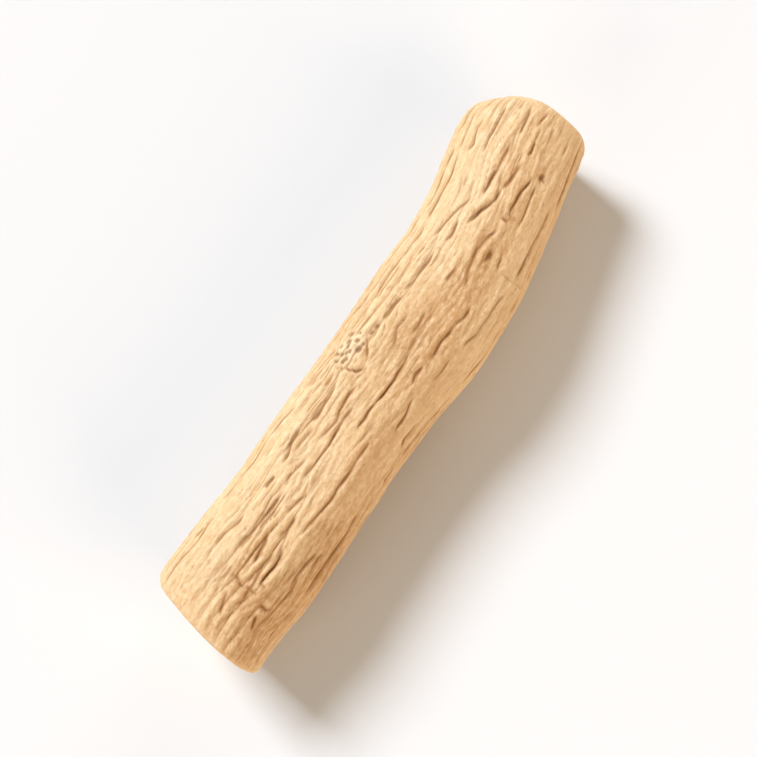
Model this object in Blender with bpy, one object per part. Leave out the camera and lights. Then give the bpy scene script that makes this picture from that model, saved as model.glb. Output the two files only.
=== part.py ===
"""Dried codonopsis root: one cut length, lying on its side.

Metres, +Z up. The root runs along X and lies on z = 0, and the origin is under its middle.
Every length below is in millimetres until the mesh is made. Angles go round the axis from
the +Y side over the top: 0 is +Y, 90 is up, 180 is -Y and 270 is down.
"""

import math

import bmesh
import bpy
import numpy as np

MM = 0.001
NAME = "codonopsis_root"

# Driving sizes
LENGTH = 60.0
HEIGHT_TO_WIDTH = 0.93
BARK_RADIUS = 6.1
FACING_ANGLE = math.radians(97.0)

# The outline from above: x, the far edge (+Y) and the near edge (-Y)
OUTLINE = (
    (-30.0, 6.80, -5.25),
    (-26.0, 7.00, -5.45),
    (-22.0, 6.70, -6.20),
    (-15.0, 5.95, -6.50),
    (-8.0, 5.60, -6.75),
    (0.0, 4.95, -7.45),
    (5.0, 4.70, -8.35),
    (9.5, 4.55, -8.50),
    (14.0, 4.20, -8.35),
    (18.0, 4.45, -7.80),
    (22.0, 5.10, -7.20),
    (25.5, 5.50, -6.60),
    (30.0, 5.30, -6.00),
)

# How it lies: three flattened spots under the weight, and the rest of the underside a little clear
REST_SPOTS = (-21.0, 6.0, 23.0)
REST_SPOT_LONG = 4.5
REST_SPOT_WIDE = 2.2
REST_CUT = 0.22
REST_ARCH = 0.25
UNDER = math.radians(270.0)

# The two cuts: how far each leans with y and with z, and how far its bark edge is worn round.
# The right cut is worn much further at its far corner than elsewhere.
LEFT_LEAN = (0.25, -0.22)
RIGHT_LEAN = (-0.02, 0.12)
EDGE_ROUND_ALONG = 0.6
EDGE_ROUND_IN = 0.42
FAR_CORNER_ALONG = 3.6
FAR_CORNER_IN = 2.7
FAR_CORNER_ANGLE = math.radians(15.0)

# The end grain from the pith to the bark: share of the radius, and how far it stands out
END_RINGS = ((0.0, 0.20), (0.38, 0.16), (0.44, 0.02), (0.50, 0.10), (0.80, 0.08), (1.0, 0.0))

# The mesh
AROUND = 90
ROW_STEP = 1.38
END_ROWS = (0.0, 0.20, 0.62)

# Where the mesh is halved to follow something small: x, y from above, reach
FINE_PLACES = ((0.4, 2.7, 3.0), (0.3, 3.0, 2.3), (-23.6, -0.2, 2.2), (14.3, -2.9, 1.7), (23.8, -3.1, 1.3))

# Long shrinkage grooves of the upper side, drawn from above: depth, then x and y points
GROOVES_ABOVE = (
    (0.55, (-25.5, 2.85), (-23.5, 2.95), (-21.8, 2.45), (-20.0, 2.05), (-18.0, 1.60), (-14.4, 1.45)),
    (0.30, (-14.0, 1.65), (-13.0, 1.75), (-11.8, 1.40), (-10.5, 1.20)),
    (0.40, (-9.2, 1.40), (-8.0, 1.05), (-6.3, 0.75), (-5.4, 1.00), (-3.5, 0.90), (-2.2, 0.75)),
    (0.25, (-22.4, 3.95), (-20.5, 3.85), (-19.0, 3.35), (-17.6, 3.15)),
    (0.25, (-22.3, 5.90), (-20.8, 5.60)),
    (0.40, (-21.8, 0.15), (-19.2, 0.30), (-18.1, 0.60)),
    (0.40, (-25.2, -1.00), (-24.4, -0.70), (-23.0, -0.75), (-21.5, -0.55), (-19.3, -1.00)),
    (0.75, (-23.3, -1.70), (-22.6, -1.35), (-21.0, -1.50), (-19.9, -1.45), (-18.4, -1.00), (-15.3, -0.95)),
    (0.40, (-16.3, 0.00), (-15.2, -0.20), (-14.0, -0.45), (-13.4, -0.70)),
    (0.55, (-17.5, -1.75), (-15.0, -2.30), (-13.0, -2.80), (-11.5, -2.65), (-8.5, -2.90), (-6.0, -3.00)),
    (0.40, (-15.2, 2.90), (-13.5, 2.75)),
    (0.55, (-12.5, 2.75), (-11.2, 2.80), (-10.4, 3.12), (-8.2, 3.05)),
    (0.55, (-7.9, 2.68), (-6.3, 2.40), (-4.8, 2.40), (-2.9, 2.50)),
    (0.35, (-4.2, 3.30), (-2.1, 3.20)),
    (0.50, (-12.9, 0.55), (-12.0, 0.30), (-10.0, 0.20), (-8.5, 0.02), (-7.3, 0.22), (-4.0, 0.25)),
    (0.25, (-8.3, -1.95), (-6.5, -2.30), (-4.0, -2.40)),
    (0.60, (-6.3, -1.35), (-4.0, -1.30), (-2.0, -1.75), (-0.2, -1.95), (1.0, -1.70), (3.4, -1.60)),
    (0.40, (-4.5, -4.45), (-3.2, -4.45), (-0.4, -4.10)),
    (0.30, (-5.4, -5.70), (-4.2, -5.50), (-1.8, -5.80)),
    (0.40, (0.1, -3.50), (0.8, -3.30), (2.4, -3.45)),
    (0.40, (2.6, 1.85), (3.6, 2.00), (4.6, 1.75), (6.7, 1.55)),
    (0.75, (7.1, 1.68), (8.0, 1.60), (9.5, 1.42), (11.0, 1.25), (12.4, 1.25)),
    (0.45, (0.6, 0.55), (1.4, 0.15), (3.0, 0.15), (4.0, 0.45), (6.1, 0.28)),
    (0.40, (3.8, -1.00), (5.0, -1.25), (6.9, -0.95)),
    (0.60, (3.0, -3.72), (5.5, -3.80), (6.9, -3.85), (8.0, -4.25), (9.4, -4.25)),
    (0.45, (5.3, -5.75), (6.5, -5.78), (7.5, -6.10), (10.0, -6.15), (12.7, -6.45)),
    (0.30, (13.8, -6.45), (16.5, -6.20), (19.0, -6.05), (22.0, -5.75)),
    (0.35, (9.8, -0.95), (10.8, -1.00), (11.9, -1.20)),
    (0.50, (10.0, -2.70), (11.2, -2.72), (13.0, -2.25), (14.2, -1.92), (15.6, -2.25), (17.2, -2.38)),
    (0.30, (11.0, 2.55), (12.2, 2.20)),
    (0.35, (12.9, 2.30), (14.3, 1.88), (16.8, 1.45), (18.8, 1.15)),
    (0.35, (13.1, 0.92), (14.0, 0.75), (16.2, 0.80)),
    (0.60, (15.6, 0.15), (17.6, -0.25), (19.3, -0.92), (20.5, -0.85), (22.5, -1.25), (23.7, -1.30)),
    (0.45, (24.4, -1.20), (25.0, -1.42), (26.3, -1.20)),
    (0.55, (18.6, 0.30), (20.8, 0.45), (22.3, 0.35), (23.5, 0.50), (25.2, 0.70)),
    (0.45, (25.5, 0.50), (26.3, 0.38), (29.2, 0.72)),
    (0.45, (22.4, 2.30), (24.0, 2.65), (26.0, 2.85), (28.4, 3.03)),
    (0.45, (22.0, 3.75), (23.3, 3.68), (24.8, 4.22), (26.5, 4.12)),
    (0.40, (27.2, -0.72), (28.2, -0.80), (29.6, -1.05)),
    (0.50, (18.3, -2.70), (19.3, -2.58), (21.3, -2.55), (23.2, -2.92)),
    (0.30, (17.8, -4.12), (20.0, -4.00), (21.5, -3.70), (22.9, -3.60)),
    (0.30, (-22.0, -3.60), (-19.0, -3.75), (-16.8, -4.00)),
    (0.30, (-19.2, -4.40), (-17.0, -4.72)),
)
GROOVE_REACH = 0.62
GROOVE_REACH_PER_DEPTH = 0.75
GROOVE_SHOULDER = 1.7
GROOVE_RUN_OUT = 1.3
GROOVE_END_SHARE = 0.35

# Short folds across the grain of the upper side, drawn the same way
FOLDS_ABOVE = (
    (0.40, (-23.4, 2.00), (-23.4, 1.00), (-23.8, 0.10), (-23.6, -0.80), (-23.9, -1.80)),
    (0.35, (-24.4, -2.10), (-24.5, -3.20)),
    (0.30, (-26.8, -2.70), (-25.2, -2.50)),
    (0.30, (-27.3, 0.10), (-26.6, 0.48), (-25.6, 0.65), (-24.5, 1.00)),
    (0.45, (-2.2, 3.40), (-1.55, 2.20), (-1.45, 1.45), (-0.7, 1.25)),
    (0.30, (0.0, 1.25), (0.7, 1.60), (1.4, 1.95), (2.6, 2.45)),
    (0.25, (12.45, 1.40), (12.45, 0.60)),
    (0.30, (18.1, -2.00), (18.1, -3.00)),
)

# Knots, warts, scars and pits of the upper side: x, y, reach along, reach across, height
KNOBS_ABOVE = (
    (-16.2, 0.65, 3.4, 0.75, 0.28),
    (-19.0, -2.05, 3.6, 0.60, 0.30),
    (-23.2, -1.28, 0.50, 0.55, 0.35),
    (-21.0, -1.02, 1.20, 0.30, 0.15),
    (-1.95, 1.60, 0.50, 2.30, 0.32),
    (0.30, 3.00, 1.90, 1.60, 0.34),
    (14.40, -2.72, 0.80, 0.40, 0.25),
    (14.35, -3.15, 0.75, 0.42, -0.50),
    (24.20, -2.65, 0.60, 0.50, 0.25),
    (23.65, -3.60, 0.42, 0.34, -0.45),
)

# The rootlet scar of the upper side is a pale cushion with small pits in it: x, y
SCAR_PITS_ABOVE = (
    (-0.75, 3.55), (-1.10, 2.90), (-0.15, 3.00), (0.75, 3.50), (1.60, 3.70), (1.15, 2.85), (0.50, 2.35),
)
SCAR_PIT_REACH = 0.36
SCAR_PIT_DEPTH = 0.30

# Rootlet scars where the root is out of sight from above: x, angle
HIDDEN_SCARS = ((-13.0, 214.0), (17.0, 236.0), (-4.0, 322.0))
HIDDEN_SCAR_REACH = (1.7, 1.1)
HIDDEN_SCAR_RISE = 0.32
HIDDEN_SCAR_DIP = 0.55

# Grooves out of sight from above follow the same habit in lanes drawn by lot: first and last lane,
# the step between lanes, and how much shallower the lanes on the two flanks are
LANE_SEED = 17
LANES_FROM, LANES_TO, LANE_STEP = 160.0, 402.0, 12.4
FLANK_BEFORE, FLANK_AFTER, FLANK_SHARE = 192.0, 352.0, 0.6
LANE_DEPTH = (0.34, 0.66)
LANE_LENGTH = (4.0, 12.0)
LANE_GAP = (-0.8, 1.6)
LANE_WANDER = 3.2

# The slow unevenness of the whole girth: waves round, turns over the length, height, phase
LOBES = ((3, 0.35, 0.10, 0.4), (5, -0.55, 0.09, 2.1), (8, 0.80, 0.06, 4.4))

BARK_COLOUR = (0.62, 0.42, 0.22, 1.0)
BARK_ROUGHNESS = 0.85


def through(table, column, x):
    """A smooth curve through one column of a table whose first column is x."""
    xs = np.array([row[0] for row in table])
    ys = np.array([row[column] for row in table])
    slopes = np.gradient(ys, xs)
    i = np.clip(np.searchsorted(xs, x) - 1, 0, len(xs) - 2)
    span = xs[i + 1] - xs[i]
    t = np.clip((x - xs[i]) / span, 0.0, 1.0)
    start = ys[i] * (1 + 2 * t) * (1 - t) ** 2 + slopes[i] * span * t * (1 - t) ** 2
    end = ys[i + 1] * t * t * (3 - 2 * t) + slopes[i + 1] * span * t * t * (t - 1)
    return start + end


def near_rest_spot(x):
    """One at the places where it rests, falling away to nothing between them."""
    return np.minimum(sum(np.exp(-(((x - spot) / REST_SPOT_LONG) ** 2)) for spot in REST_SPOTS), 1.0)


def section(x):
    """The centre line's y and z, the half width and the half height at x."""
    far, near = through(OUTLINE, 1, x), through(OUTLINE, 2, x)
    half_width = (far - near) / 2
    half_height = half_width * HEIGHT_TO_WIDTH
    clear = REST_ARCH * (1 - near_rest_spot(x))
    return (far + near) / 2, half_height - REST_CUT + clear, half_width, half_height


def unrolled(x, y):
    """Where a point drawn from above lies on the bark: x and the length round from the +Y side."""
    centre, _, half_width, _ = section(np.array(x, float))
    side = np.clip((centre - y) / half_width, -1.0, 1.0)
    return np.stack([np.array(x, float), (FACING_ANGLE + np.arcsin(side)) * BARK_RADIUS], -1)


def line_on_bark(x, round_length, line):
    """Distance from each bark point to a drawn line, and how far along the line's own length that is."""
    spot = np.stack([x, round_length], -1)
    best = np.full(x.shape, 1e9)
    along = np.zeros(x.shape)
    done = 0.0
    for a, b in zip(line[:-1], line[1:]):
        run = b - a
        length = np.hypot(*run)
        t = np.clip(((spot - a) @ run) / length**2, 0.0, 1.0)
        gap = spot - a - t[..., None] * run
        distance = np.hypot(gap[..., 0], gap[..., 1])
        along = np.where(distance < best, done + t * length, along)
        best = np.minimum(distance, best)
        done += length
    return best, along, done


def groove(x, round_length, line, depth):
    """Depth of a groove: a sharp bottom, rounded shoulders, and both ends running out."""
    reach = GROOVE_REACH + GROOVE_REACH_PER_DEPTH * depth
    distance, along, length = line_on_bark(x, round_length, line)
    run_out = min(GROOVE_RUN_OUT, length / 2)
    share = np.clip(np.minimum(along, length - along) / run_out, GROOVE_END_SHARE, 1.0)
    return depth * share * np.clip(1 - distance / reach, 0.0, 1.0) ** GROOVE_SHOULDER


def knob(x, round_length, centre, reach_along, reach_across, height):
    """A rounded rise, or a dip where the height is below nothing."""
    across = (round_length - centre[1] + math.pi * BARK_RADIUS) % (2 * math.pi * BARK_RADIUS)
    across = across - math.pi * BARK_RADIUS
    return height * np.exp(-(((x - centre[0]) / reach_along) ** 2) - (across / reach_across) ** 2)


def grooves_by_lot():
    """Grooves in lanes along the rest of the bark: each one wanders a little and ends near the next."""
    draw = np.random.default_rng(LANE_SEED)
    lines = []
    for lane in np.arange(LANES_FROM, LANES_TO, LANE_STEP):
        share = 1.0 if FLANK_BEFORE < lane < FLANK_AFTER else FLANK_SHARE
        start = -LENGTH / 2 + draw.uniform(-1.0, 3.0)
        while start < LENGTH / 2 - 3:
            length = draw.uniform(*LANE_LENGTH)
            xs = np.linspace(start, start + length, 4)
            angles = lane + np.cumsum(draw.uniform(-LANE_WANDER, LANE_WANDER, 4))
            line = np.stack([xs, np.radians(angles) * BARK_RADIUS], -1)
            lines.append((draw.uniform(*LANE_DEPTH) * share, line))
            start += length + draw.uniform(*LANE_GAP)
    return lines


def relief(x, angle):
    """How far the bark stands out from its plain oval section."""
    turns = 2 * math.pi * BARK_RADIUS
    round_length = angle % (2 * math.pi) * BARK_RADIUS
    shape = sum(h * np.sin(n * angle + t * 2 * math.pi * x / LENGTH + p) for n, t, h, p in LOBES)
    for knob_x, knob_y, along, across, height in KNOBS_ABOVE:
        shape = shape + knob(x, round_length, unrolled(knob_x, knob_y), along, across, height)
    for scar_x, scar_angle in HIDDEN_SCARS:
        centre = (scar_x, math.radians(scar_angle) * BARK_RADIUS)
        along, across = HIDDEN_SCAR_REACH
        shape = shape + knob(x, round_length, centre, along, across, HIDDEN_SCAR_RISE)
        shape = shape - knob(x, round_length, centre, along / 2, across / 2, HIDDEN_SCAR_DIP)
    for pit in SCAR_PITS_ABOVE:
        shape = shape - knob(x, round_length, unrolled(*pit), SCAR_PIT_REACH, SCAR_PIT_REACH, SCAR_PIT_DEPTH)
    drawn = [(row[0], unrolled(*np.array(row[1:]).T)) for row in GROOVES_ABOVE + FOLDS_ABOVE]
    cut = np.zeros(x.shape)
    for depth, line in drawn + grooves_by_lot():
        for lap in (0.0, turns):
            cut = np.maximum(cut, groove(x, round_length + lap, line, depth))
    under = np.exp(-(((angle - UNDER) * BARK_RADIUS / REST_SPOT_WIDE) ** 4))
    return (shape - cut) * (1 - under * near_rest_spot(x))


def cut_plane(end, lean, angle):
    """x of a leaning cut at each angle of its rim. Only its outermost point reaches the end."""
    _, _, half_width, half_height = section(end)
    shift = lean[0] * half_width * np.cos(angle) + lean[1] * half_height * np.sin(angle)
    return end + shift - math.copysign(math.hypot(lean[0] * half_width, lean[1] * half_height), end)


def worn_edge(from_cut, angle, corner):
    """How far the bark edge is worn in near a cut: corner is 1 where its far corner is worn most."""
    facing = corner * np.clip(np.cos(angle - FAR_CORNER_ANGLE), 0.0, 1.0) ** 2
    along = EDGE_ROUND_ALONG + facing * (FAR_CORNER_ALONG - EDGE_ROUND_ALONG)
    inwards = EDGE_ROUND_IN + facing * (FAR_CORNER_IN - EDGE_ROUND_IN)
    share = np.clip(1 - from_cut / along, 0.0, 1.0)
    return inwards * (1 - np.sqrt(1 - share**2))


def bark(share, angle):
    """Points of the bark: share goes from 0 at the left cut to 1 at the right one."""
    left = cut_plane(-LENGTH / 2, LEFT_LEAN, angle)
    right = cut_plane(LENGTH / 2, RIGHT_LEAN, angle)
    x = left + share * (right - left)
    y, z, half_width, half_height = section(x)
    out = relief(x, angle) - worn_edge(x - left, angle, 0.0) - worn_edge(right - x, angle, 1.0)
    y = y + (half_width + out) * np.cos(angle)
    z = z + (half_height + out) * np.sin(angle)
    return np.stack([x, y, np.maximum(z, 0.0)], -1)


def cut_face(share, angle, radius):
    """Points of the two cut faces: radius goes from 0 at the pith to 1 at the bark."""
    round_rim = np.arange(AROUND) * 2 * math.pi / AROUND
    face = np.zeros(share.shape + (3,))
    for cut, lean, outwards in ((0.0, LEFT_LEAN, -1.0), (1.0, RIGHT_LEAN, 1.0)):
        centre = bark(np.full(AROUND, cut), round_rim).mean(0)
        reach = bark(np.full(share.shape, cut), angle) - centre
        bark_radius = np.hypot(reach[..., 1], reach[..., 2])
        even = radius**2 + (1 - radius**2) * (0.5 + 0.5 * bark_radius.mean() / bark_radius)
        point = centre + reach * (radius * even)[..., None]
        leaning = lean[0] * (point[..., 1] - centre[1]) + lean[1] * (point[..., 2] - centre[2])
        point[..., 0] = centre[0] + leaning + outwards * np.interp(radius, *np.array(END_RINGS).T)
        face = np.where((share == cut)[..., None], point, face)
    return face


def shares_along():
    """Rows from cut to cut, closer at both ends where the edge is worn round."""
    inner = LENGTH - 2 * ROW_STEP
    middle = np.linspace(ROW_STEP, LENGTH - ROW_STEP, round(inner / ROW_STEP) + 1)
    rows = np.concatenate([END_ROWS, middle, LENGTH - np.array(END_ROWS)[::-1]])
    return rows / LENGTH


def plain_loop(mesh, share, radius):
    """One round loop of the plain length, whose radius is one at the bark."""
    angles = np.arange(AROUND) * 2 * math.pi / AROUND
    corners = [mesh.verts.new((share, radius * math.cos(a), radius * math.sin(a))) for a in angles]
    return [mesh.edges.new((a, b)) for a, b in zip(corners, corners[1:] + corners[:1])]


def plain_length():
    """A plain closed round length: loops bridged from cut to cut, and each cut closed to its pith."""
    mesh = bmesh.new()
    inner = [radius for radius, _ in END_RINGS[1:-1]]
    loops = [plain_loop(mesh, 0.0, radius) for radius in inner]
    loops += [plain_loop(mesh, share, 1.0) for share in shares_along()]
    loops += [plain_loop(mesh, 1.0, radius) for radius in inner[::-1]]
    for one, other in zip(loops, loops[1:]):
        bmesh.ops.bridge_loops(mesh, edges=one + other)
    for loop in (loops[0], loops[-1]):
        face = bmesh.ops.contextual_create(mesh, geom=loop)["faces"]
        bmesh.ops.poke(mesh, faces=face)
    return mesh


def halve_round(mesh, x, y, reach):
    """Halves the edges round a small feature, so that the mesh can follow it."""
    centre = unrolled(x, y)
    near = []
    for edge in mesh.edges:
        share, side, up = (edge.verts[0].co + edge.verts[1].co) / 2
        angle = math.atan2(up, side) % (2 * math.pi)
        away = math.hypot((share - 0.5) * LENGTH - centre[0], angle * BARK_RADIUS - centre[1])
        if away < reach:
            near.append(edge)
    bmesh.ops.subdivide_edges(mesh, edges=near, cuts=1, use_grid_fill=True)


def root_mesh():
    """The plain length with its points moved out to the bark and to the two cut faces."""
    mesh = plain_length()
    for x, y, reach in FINE_PLACES:
        halve_round(mesh, x, y, reach)
    plain = np.array([corner.co for corner in mesh.verts])
    share, angle = plain[:, 0], np.arctan2(plain[:, 2], plain[:, 1]) % (2 * math.pi)
    radius = np.hypot(plain[:, 1], plain[:, 2])
    on_cut = ((share == 0.0) | (share == 1.0)) & (radius < END_RINGS[-2][0] + 0.01)
    points = np.where(on_cut[:, None], cut_face(share, angle, radius), bark(share, angle))
    points[:, 1] -= (points[:, 1].max() + points[:, 1].min()) / 2
    for corner, point in zip(mesh.verts, points * MM):
        corner.co = point
    bmesh.ops.triangulate(mesh, faces=mesh.faces)
    bmesh.ops.recalc_face_normals(mesh, faces=mesh.faces)
    made = bpy.data.meshes.new(NAME)
    mesh.to_mesh(made)
    mesh.free()
    return made


def bark_material():
    """Dry pale brown bark, with nothing shiny about it."""
    material = bpy.data.materials.new("dry_bark")
    material.use_nodes = True
    shader = material.node_tree.nodes["Principled BSDF"]
    shader.inputs["Base Color"].default_value = BARK_COLOUR
    shader.inputs["Roughness"].default_value = BARK_ROUGHNESS
    shader.inputs["Metallic"].default_value = 0.0
    return material


def main():
    for old in list(bpy.data.objects):
        bpy.data.objects.remove(old, do_unlink=True)
    made = root_mesh()
    made.materials.append(bark_material())
    made.shade_smooth()
    root = bpy.data.objects.new(NAME, made)
    bpy.context.scene.collection.objects.link(root)


main()
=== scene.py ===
"""Dried codonopsis root: the looks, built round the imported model.

The frame is in metres. Lengths of the root are in millimetres until its mesh is made. Its form is
worked out in the same way as the solid's, with narrower grooves and finer relief on top. Angles go
round the axis from the +Y side over the top: 0 is +Y, 90 is up, 180 is -Y and 270 is down.
"""

import math

import bmesh
import bpy
import numpy as np
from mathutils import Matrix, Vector


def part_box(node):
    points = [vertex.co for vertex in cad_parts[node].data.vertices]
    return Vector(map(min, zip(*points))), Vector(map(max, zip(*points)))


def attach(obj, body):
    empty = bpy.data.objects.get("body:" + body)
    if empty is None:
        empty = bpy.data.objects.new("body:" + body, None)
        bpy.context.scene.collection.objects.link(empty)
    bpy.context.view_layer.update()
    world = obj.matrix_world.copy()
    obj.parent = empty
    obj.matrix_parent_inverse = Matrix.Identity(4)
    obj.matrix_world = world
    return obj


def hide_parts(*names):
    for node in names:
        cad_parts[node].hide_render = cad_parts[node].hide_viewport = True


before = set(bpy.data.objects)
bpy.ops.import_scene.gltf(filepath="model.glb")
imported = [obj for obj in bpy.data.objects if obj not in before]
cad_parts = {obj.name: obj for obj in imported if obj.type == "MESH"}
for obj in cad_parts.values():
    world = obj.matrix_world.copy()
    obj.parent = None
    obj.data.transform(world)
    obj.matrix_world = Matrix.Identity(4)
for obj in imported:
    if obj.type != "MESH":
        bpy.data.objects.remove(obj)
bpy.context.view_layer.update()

MM = 0.001
NODE = "codonopsis_root"
PIECE = "dried_root"

# Driving sizes, as in the solid
LENGTH = 60.0
HEIGHT_TO_WIDTH = 0.93
BARK_RADIUS = 6.1
ROUND = 2 * math.pi * BARK_RADIUS
FACING_ANGLE = math.radians(97.0)

# The outline from above: x, the far edge (+Y) and the near edge (-Y)
OUTLINE = (
    (-30.0, 6.80, -5.25),
    (-26.0, 7.00, -5.45),
    (-22.0, 6.70, -6.20),
    (-15.0, 5.95, -6.50),
    (-8.0, 5.60, -6.75),
    (0.0, 4.95, -7.45),
    (5.0, 4.70, -8.35),
    (9.5, 4.55, -8.50),
    (14.0, 4.20, -8.35),
    (18.0, 4.45, -7.80),
    (22.0, 5.10, -7.20),
    (25.5, 5.50, -6.60),
    (30.0, 5.30, -6.00),
)

# How it lies: three flattened spots, and the rest of the underside a little clear
REST_SPOTS = (-21.0, 6.0, 23.0)
REST_SPOT_LONG = 4.5
REST_SPOT_WIDE = 2.2
REST_CUT = 0.22
REST_ARCH = 0.25
UNDER = math.radians(270.0)

# The two leaning cuts and their worn edges
LEFT_LEAN = (0.25, -0.22)
RIGHT_LEAN = (-0.02, 0.12)
EDGE_ROUND_ALONG = 0.6
EDGE_ROUND_IN = 0.42
FAR_CORNER_ALONG = 3.6
FAR_CORNER_IN = 2.7
FAR_CORNER_ANGLE = math.radians(15.0)
END_RINGS = ((0.0, 0.20), (0.38, 0.16), (0.44, 0.02), (0.50, 0.10), (0.80, 0.08), (1.0, 0.0))

# The mesh: points round, rows along, rings in each cut face, and the close rows at both ends
AROUND = 320
FIRST_ROWS, ROW_PARTS = 65, 4
FACE_RINGS = 24
END_ROWS = (0.0, 0.02, 0.06, 0.12, 0.20, 0.30, 0.42, 0.56)

# An edge that reaches further than this along x runs along the root, and a face turned this far to x ends it
LEAST_ALONG = 1e-4
END_FACING = 0.99

# Long shrinkage grooves of the upper side, drawn from above: depth, then x and y points
GROOVES_ABOVE = (
    (0.42, (-21.7, 2.35), (-20.0, 2.05), (-18.0, 1.60), (-16.2, 1.38), (-14.4, 1.45)),
    (0.30, (-14.0, 1.65), (-13.0, 1.75), (-11.8, 1.40), (-10.5, 1.20)),
    (0.40, (-9.2, 1.40), (-8.0, 1.05), (-6.3, 0.75), (-5.4, 1.00), (-3.5, 0.90), (-2.2, 0.75)),
    (0.25, (-22.4, 3.95), (-20.5, 3.85), (-19.0, 3.35), (-17.6, 3.15)),
    (0.25, (-22.3, 5.90), (-20.8, 5.60)),
    (0.40, (-21.8, 0.15), (-19.2, 0.30), (-18.1, 0.60)),
    (0.40, (-25.2, -1.00), (-24.4, -0.70), (-23.0, -0.75), (-21.5, -0.55), (-19.3, -1.00)),
    (0.50, (-23.3, -1.70), (-22.6, -1.35), (-21.0, -1.50), (-19.9, -1.45), (-18.4, -1.00)),
    (0.26, (-18.9, -1.12), (-17.2, -0.92), (-15.3, -0.95)),
    (0.40, (-16.3, 0.00), (-15.2, -0.20), (-14.0, -0.45), (-13.4, -0.70)),
    (0.36, (-17.5, -1.75), (-15.0, -2.30), (-13.0, -2.80), (-11.5, -2.65), (-8.5, -2.90), (-6.0, -3.00)),
    (0.40, (-15.2, 2.90), (-13.5, 2.75)),
    (0.55, (-12.5, 2.75), (-11.2, 2.80), (-10.4, 3.12), (-8.2, 3.05)),
    (0.55, (-7.9, 2.68), (-6.3, 2.40), (-4.8, 2.40), (-2.9, 2.50)),
    (0.35, (-4.2, 3.30), (-2.1, 3.20)),
    (0.42, (-12.9, 0.55), (-12.0, 0.30), (-10.0, 0.20), (-8.5, 0.02), (-7.3, 0.22), (-4.0, 0.25)),
    (0.25, (-8.3, -1.95), (-6.5, -2.30), (-4.0, -2.40)),
    (0.34, (-6.3, -1.35), (-4.0, -1.30), (-2.6, -1.60)),
    (0.52, (-3.4, -1.42), (-2.0, -1.75), (-0.2, -1.95), (1.0, -1.70)),
    (0.55, (-0.9, -1.88), (-0.2, -1.95), (1.0, -1.70), (3.2, -1.60)),
    (0.32, (-4.5, -4.45), (-3.2, -4.45), (-0.4, -4.10)),
    (0.30, (-5.4, -5.70), (-4.2, -5.50), (-1.8, -5.80)),
    (0.40, (0.1, -3.50), (0.8, -3.30), (2.4, -3.45)),
    (0.44, (3.6, 2.02), (4.6, 1.82), (5.8, 1.68), (7.2, 1.50)),
    (0.46, (7.1, 1.68), (8.0, 1.60), (9.5, 1.42), (11.0, 1.25), (12.7, 1.20)),
    (0.22, (0.6, 0.55), (1.4, 0.15), (3.0, 0.15), (4.0, 0.45), (6.1, 0.28)),
    (0.40, (3.8, -1.00), (5.0, -1.25), (6.9, -0.95)),
    (0.58, (2.8, -3.72), (5.5, -3.80), (7.2, -3.90)),
    (0.38, (6.6, -3.80), (8.0, -4.25), (9.4, -4.25)),
    (0.22, (5.3, -5.75), (6.5, -5.78), (7.5, -6.10), (10.0, -6.15), (12.7, -6.45)),
    (0.30, (13.8, -6.45), (16.5, -6.20), (19.0, -6.05), (22.0, -5.75)),
    (0.30, (9.8, -0.95), (10.8, -1.00), (11.9, -1.20)),
    (0.40, (10.0, -2.70), (11.2, -2.72), (13.0, -2.25), (14.2, -1.92), (15.6, -2.25), (17.2, -2.38)),
    (0.30, (11.0, 2.55), (12.2, 2.20)),
    (0.35, (12.9, 2.30), (14.3, 1.88), (16.8, 1.45), (18.8, 1.15)),
    (0.30, (13.1, 0.92), (14.0, 0.75), (16.2, 0.80)),
    (0.64, (15.6, 0.15), (17.6, -0.25), (19.3, -0.92), (20.8, -0.85)),
    (0.34, (20.2, -0.85), (22.5, -1.25), (23.7, -1.30)),
    (0.34, (24.4, -1.20), (25.0, -1.42), (26.3, -1.20)),
    (0.55, (18.6, 0.30), (20.8, 0.45), (22.3, 0.35), (23.5, 0.50), (25.2, 0.70)),
    (0.45, (25.5, 0.50), (26.3, 0.38), (29.2, 0.72)),
    (0.45, (22.4, 2.30), (24.0, 2.65), (26.0, 2.85), (28.4, 3.03)),
    (0.45, (22.0, 3.75), (23.3, 3.68), (24.8, 4.22), (26.5, 4.12)),
    (0.30, (27.2, -0.72), (28.2, -0.80), (29.6, -1.05)),
    (0.38, (18.3, -2.70), (19.3, -2.58), (21.3, -2.55), (23.2, -2.92)),
    (0.30, (17.8, -4.12), (20.0, -4.00), (21.5, -3.70), (22.9, -3.60)),
    (0.30, (-22.0, -3.60), (-19.0, -3.75), (-16.8, -4.00)),
    (0.30, (-19.2, -4.40), (-17.0, -4.72)),
)
# Half the width of a groove, and what each millimetre of depth adds to it
GROOVE_REACH = 0.30
GROOVE_REACH_PER_DEPTH = 0.28

# It gets narrower and shallower towards both ends, over this length or this share of a short one
GROOVE_RUN_OUT = 1.3
RUN_OUT_SHARE = 0.30
RUN_OUT_POWER = 0.7
GROOVE_END_WIDTH = 0.50

# A groove is a fold: round shoulders that meet in a sharp line, with painted shade along the bottom and a
# little on the shoulders. One as deep as DARKEST_FROM has its full painted shade.
# The bark is drawn up into a low lip beside it.
CREASE_REACH = 0.23
SHOULDER_SHADE = 0.25
LIP_SHARE = 0.12
LIP_WIDTH = 0.30
DEPTH_SHARE = 0.62
DARKEST_FROM = 0.33

# Its depth comes and goes along it: length, width, swing, seed
UNEVEN_DEPTH = (1.5, 0.8, 0.32, 81)

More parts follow.
